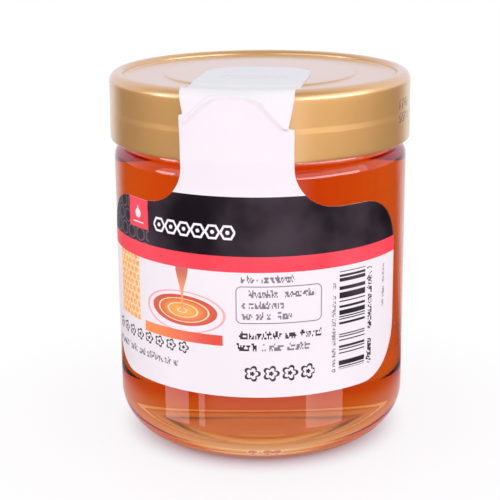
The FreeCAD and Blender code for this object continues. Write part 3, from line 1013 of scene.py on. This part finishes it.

# %% [markdown]
# ## Floor and surroundings
# A plain pale table with white beyond it. Near the jar it is pink: that is the table's pale colour made
# pinker as painted light, the honey's tint on the light that falls there. Lighting the table until it is
# white would burn out the jar, so its colour asks which ray is looking. A ray straight from the camera sees
# the real table near the jar, with the shadow on it, and white further out. A ray bent by glass or honey
# always sees white. A mirrored ray sees white only in front of the jar and behind it, so the glass has
# darker sides, which draw its edge.

# %% Floor
def rays(finish):
    """Three masks: rays straight from the camera, rays bent by glass or honey, and mirrored rays.

    A bent ray counts as glossy too, so it is taken out of the mirrored ones.
    """
    path = finish.add("ShaderNodeLightPath").socket.node
    kinds = ("Is Camera Ray", "Is Transmission Ray", "Is Glossy Ray")
    straight, bent, glossy = (Wire(finish, path.outputs[kind]) for kind in kinds)
    return straight, bent, glossy * (1 - bent)


CAMERA_TURN = 8.7
CAMERA_SIDE = math.radians(CAMERA_TURN)
FLOOR_HALF = 9000.0
FLOOR_WHITE, SIDE_GLOOM = 0.95, 0.06
BLACK, WHITE = (0, 0, 0, 1), (1, 1, 1, 1)
floor_finish = Finish("pale_table")
floor_x, floor_y, _ = floor_finish.millimetres()
floor_away = (floor_x**2 + floor_y**2) ** 0.5
straight, bent, mirrored = rays(floor_finish)
towards_camera = floor_x * math.sin(CAMERA_SIDE) - floor_y * math.cos(CAMERA_SIDE)
ahead_of_jar = towards_camera / (floor_away + 1.0)
lit_ways = ahead_of_jar.soft(0.76, 0.9) | (-ahead_of_jar).soft(0.55, 0.85)
# the table's pale colour, with its pink as painted light: the honey's tint on light falling near the jar
matt = floor_finish.add("ShaderNodeBsdfPrincipled", None, {
    "Base Color": shade(255, 232, 248), "Roughness": 0.4,
})
glow = straight + bent + mirrored * (lit_ways * (FLOOR_WHITE - SIDE_GLOOM) + SIDE_GLOOM)
white = floor_finish.add("ShaderNodeEmission", None, {0: floor_finish.blend(glow, BLACK, WHITE)})
open_floor = floor_away.soft(28.0, 44.0) * 0.85 + floor_away.soft(44.0, 110.0) * 0.15
far = open_floor * straight | bent | floor_away.soft(55.0, 80.0) * mirrored
mixed = floor_finish.add("ShaderNodeMixShader", None, {0: far, 1: matt, 2: white})
floor_finish.add("ShaderNodeOutputMaterial", None, {"Surface": mixed})
floor_corners = [(-1, -1, 0), (1, -1, 0), (1, 1, 0), (-1, 1, 0)]
floor_mesh = bpy.data.meshes.new("table")
floor_mesh.from_pydata((np.array(floor_corners) * FLOOR_HALF * MM).tolist(), [], [(0, 1, 2, 3)])
floor_mesh.materials.append(floor_finish.material)
floor = bpy.data.objects.new("table", floor_mesh)
bpy.context.scene.collection.objects.link(floor)
print(f"the table is {2 * FLOOR_HALF:.0f} mm wide")

# %% World
world = Finish("studio", True)
sky_straight, sky_bent, sky_mirrored = rays(world)
direction = world.split(world.add("ShaderNodeTexCoord", output="Generated"))
# the sky is white where it is seen, AMBIENT where it lights, and brighter behind than in front where it
# is mirrored, with a cool tint
AMBIENT, FRONT_SKY = 0.72, 0.3
COOL_SKY = (0.9, 0.94, 1.12, 1)
behind = direction[1].soft(-0.2, 0.5)
mirrored_level = behind * (1 - FRONT_SKY) + FRONT_SKY
level = AMBIENT + (sky_straight + sky_bent) * (1 - AMBIENT) + sky_mirrored * (mirrored_level - AMBIENT)
sky_colour = world.blend(level, BLACK, world.blend(sky_mirrored, WHITE, COOL_SKY))
sky = world.add("ShaderNodeBackground", None, {"Color": sky_colour})
world.add("ShaderNodeOutputWorld", None, {"Surface": sky})
bpy.context.scene.world = world.material
print(f"the world lights the jar at {AMBIENT:.2f} of white")

# %% [markdown]
# ## Lamps
# Glass and lacquer are seen by what they mirror, so each panel of light is there for one reflection. Two
# broad keys in front, one at each side, light the paper and the lid. Two high strips give the long glints
# along the shoulder. Three low panels stand close in front of the jar, and the lower glass mirrors them
# as upright bands. The strips and the low panels are glints only: they cast no light on matt surfaces.

# %% Lamps
def panel_light(name, turn, distance, low, wide, tall, radiance, tilt, glint_only):
    """A soft panel that faces the jar, turned this many degrees from the camera's side, in millimetres.

    A panel of area A and power P shines with P / (pi A) from every point.
    """
    lamp = bpy.data.lights.new(name, "AREA")
    lamp.shape = "RECTANGLE"
    lamp.size, lamp.size_y = wide * MM, tall * MM
    lamp.energy = radiance * math.pi * lamp.size * lamp.size_y
    panel = bpy.data.objects.new(name, lamp)
    angle = math.radians(turn + CAMERA_TURN)
    height = low + tall / 2 * math.cos(math.radians(tilt))
    panel.location = (distance * math.sin(angle) * MM, -distance * math.cos(angle) * MM, height * MM)
    panel.rotation_euler = (math.radians(90 - tilt), 0, angle)
    panel.visible_camera = False
    panel.visible_transmission = False
    panel.visible_diffuse = not glint_only
    bpy.context.scene.collection.objects.link(panel)
    print(f"{name}: {lamp.energy * 1000:.1f} mW")


# each panel: name, turn, distance, height of its foot, width, height, radiance, tilt, glint only
for panel in (
    ("low left wide panel", -48.7, 62.3, 0.5, 18.3, 22.0, 2.4, 0.0, True),
    ("low left narrow panel", -32.8, 64.6, 0.5, 4.0, 22.0, 2.4, 0.0, True),
    ("low right panel", 35.0, 63.0, 0.5, 25.0, 22.0, 2.4, 0.0, True),
    ("high left strip", -77.0, 800.0, 150.0, 250.0, 150.0, 6.0, 10.0, True),
    ("high right strip", 54.0, 800.0, 150.0, 800.0, 150.0, 6.0, 10.0, True),
    ("left key", -48.0, 800.0, 130.0, 1150.0, 500.0, 1.5, 20.0, False),
    ("right key", 56.0, 800.0, 130.0, 1150.0, 500.0, 1.6, 20.0, False),
):
    panel_light(*panel)

# %% [markdown]
# ## Camera
# A long lens a short arm's length away, looking down a little. Its axes are worked out from yaw, pitch and
# roll in the jar's frame, then turned round the jar, because the label's middle looks a little to the left.

# %% Camera
LENS, SENSOR = 97.84, 36.0
CAMERA_AWAY, CAMERA_HEIGHT = 378.06, 157.3
YAW, PITCH, ROLL = (math.radians(angle) for angle in (-0.467, 15.695, -0.470))
ahead_axis = np.array([math.sin(YAW) * math.cos(PITCH), math.cos(YAW) * math.cos(PITCH), -math.sin(PITCH)])
side_axis = np.array([math.cos(YAW), -math.sin(YAW), 0.0])
up_axis = np.cross(side_axis, ahead_axis)
rolled_side = math.cos(ROLL) * side_axis + math.sin(ROLL) * up_axis
rolled_up = math.cos(ROLL) * up_axis - math.sin(ROLL) * side_axis
turn_cos, turn_sin = math.cos(CAMERA_SIDE), math.sin(CAMERA_SIDE)
round_jar = np.array([[turn_cos, -turn_sin, 0], [turn_sin, turn_cos, 0], [0, 0, 1]])
camera_data = bpy.data.cameras.new("camera")
camera_data.lens, camera_data.sensor_width = LENS, SENSOR
camera = bpy.data.objects.new("camera", camera_data)
pose = np.eye(4)
pose[:3, :3] = round_jar @ np.stack([rolled_side, rolled_up, -ahead_axis], -1)
pose[:3, 3] = round_jar @ (0, -CAMERA_AWAY * MM, CAMERA_HEIGHT * MM)
camera.matrix_world = Matrix(pose)
bpy.context.scene.collection.objects.link(camera)
bpy.context.scene.camera = camera
print(f"camera {CAMERA_AWAY:.0f} mm away and {CAMERA_HEIGHT:.0f} mm up")

# %% View and bounces
# a ray crosses glass and honey many times, and one that is cut short would be black
MOST_BOUNCES = 24
bpy.context.scene.view_settings.view_transform = "Standard"
bpy.context.scene.cycles.max_bounces = MOST_BOUNCES
bpy.context.scene.cycles.transmission_bounces = MOST_BOUNCES
bpy.context.scene.cycles.transparent_max_bounces = MOST_BOUNCES
print(f"a ray may go on for {MOST_BOUNCES} bounces")
